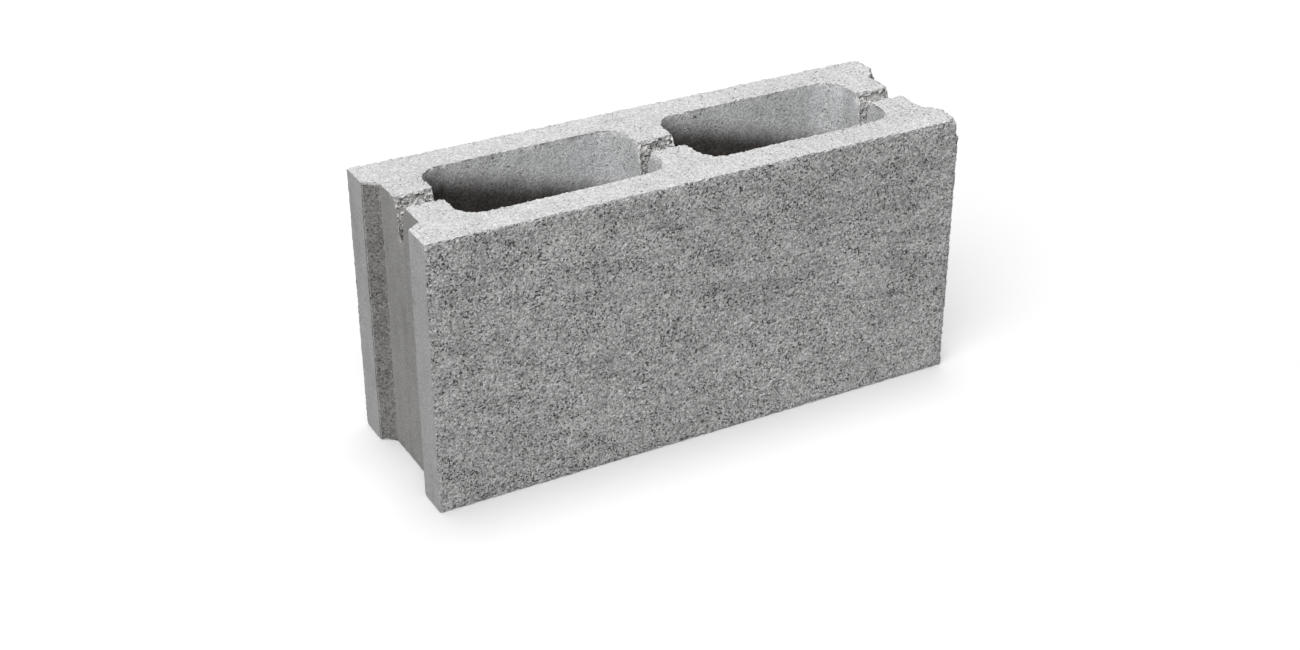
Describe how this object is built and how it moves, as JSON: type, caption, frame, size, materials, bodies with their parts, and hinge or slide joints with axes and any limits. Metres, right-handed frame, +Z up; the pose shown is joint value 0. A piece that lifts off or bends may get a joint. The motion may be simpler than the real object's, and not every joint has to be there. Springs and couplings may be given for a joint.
{
  "type": "hollow concrete block",
  "caption": "Hollow rectangular concrete masonry block with large through cells, a mortar groove in each end and a shallow core bar slot across its top.",
  "frame": {"origin": "centre of the lower bed, which stands on the ground or the mortar", "axes": "+X along the block, +Y through it from the front face to the back face, +Z up"},
  "size_m": [0.44, 0.14, 0.215],
  "materials": {
    "concrete": "rough pressed concrete, light grey"
  },
  "bodies": {
    "root": {"hollow_block": "concrete"}
  },
  "joints": []
}
